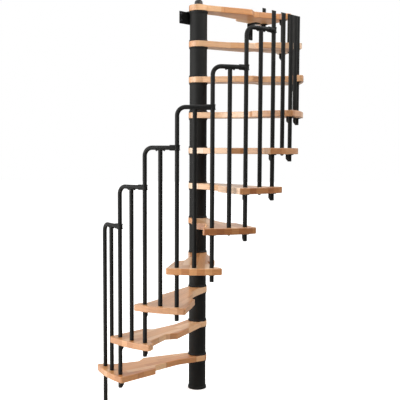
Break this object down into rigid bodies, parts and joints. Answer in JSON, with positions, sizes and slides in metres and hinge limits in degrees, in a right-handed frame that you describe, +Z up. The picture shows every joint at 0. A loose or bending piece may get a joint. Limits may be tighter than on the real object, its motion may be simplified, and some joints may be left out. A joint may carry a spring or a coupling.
{
  "type": "spiral staircase",
  "caption": "Space-saver spiral staircase: beech treads cut away on alternate sides round a black column of sleeves, with bent-tube balusters.",
  "frame": {"origin": "column axis at floor level, on the base plate's lower face", "axes": "+Z up along the column, +X to the right and +Y away from the picture's camera"},
  "size_m": [1.2882, 1.1598, 2.553],
  "materials": {
    "beech": "clear satin lacquer",
    "black_coat": "satin powder coat",
    "rod_steel": "plain drawn steel",
    "plug_plastic": "moulded satin"
  },
  "bodies": {
    "root": {"base_plate": "black_coat", "column_rod": "rod_steel", "ball_finial": "black_coat", "column_bracket": "black_coat", "landing_bracket": "black_coat", "middle_balusters": "black_coat", "rail_connectors": "black_coat", "rail_saddles": "black_coat", "tread_collars": "black_coat", "tube_plugs": "plug_plastic", "column_sleeve_01": "black_coat", "column_sleeve_02": "black_coat", "column_sleeve_03": "black_coat", "column_sleeve_04": "black_coat", "column_sleeve_05": "black_coat", "column_sleeve_06": "black_coat", "column_sleeve_07": "black_coat", "column_sleeve_08": "black_coat", "column_sleeve_09": "black_coat", "column_sleeve_10": "black_coat", "column_sleeve_11": "black_coat", "tread_01": "beech", "tread_02": "beech", "tread_03": "beech", "tread_04": "beech", "tread_05": "beech", "tread_06": "beech", "tread_07": "beech", "tread_08": "beech", "tread_09": "beech", "tread_10": "beech", "tread_11": "beech", "cane_01": "black_coat", "cane_02": "black_coat", "cane_03": "black_coat", "cane_04": "black_coat", "cane_05": "black_coat", "cane_06": "black_coat", "post_07": "black_coat", "post_08": "black_coat", "post_09": "black_coat", "post_10": "black_coat", "post_11": "black_coat", "post_12": "black_coat"}
  },
  "joints": []
}
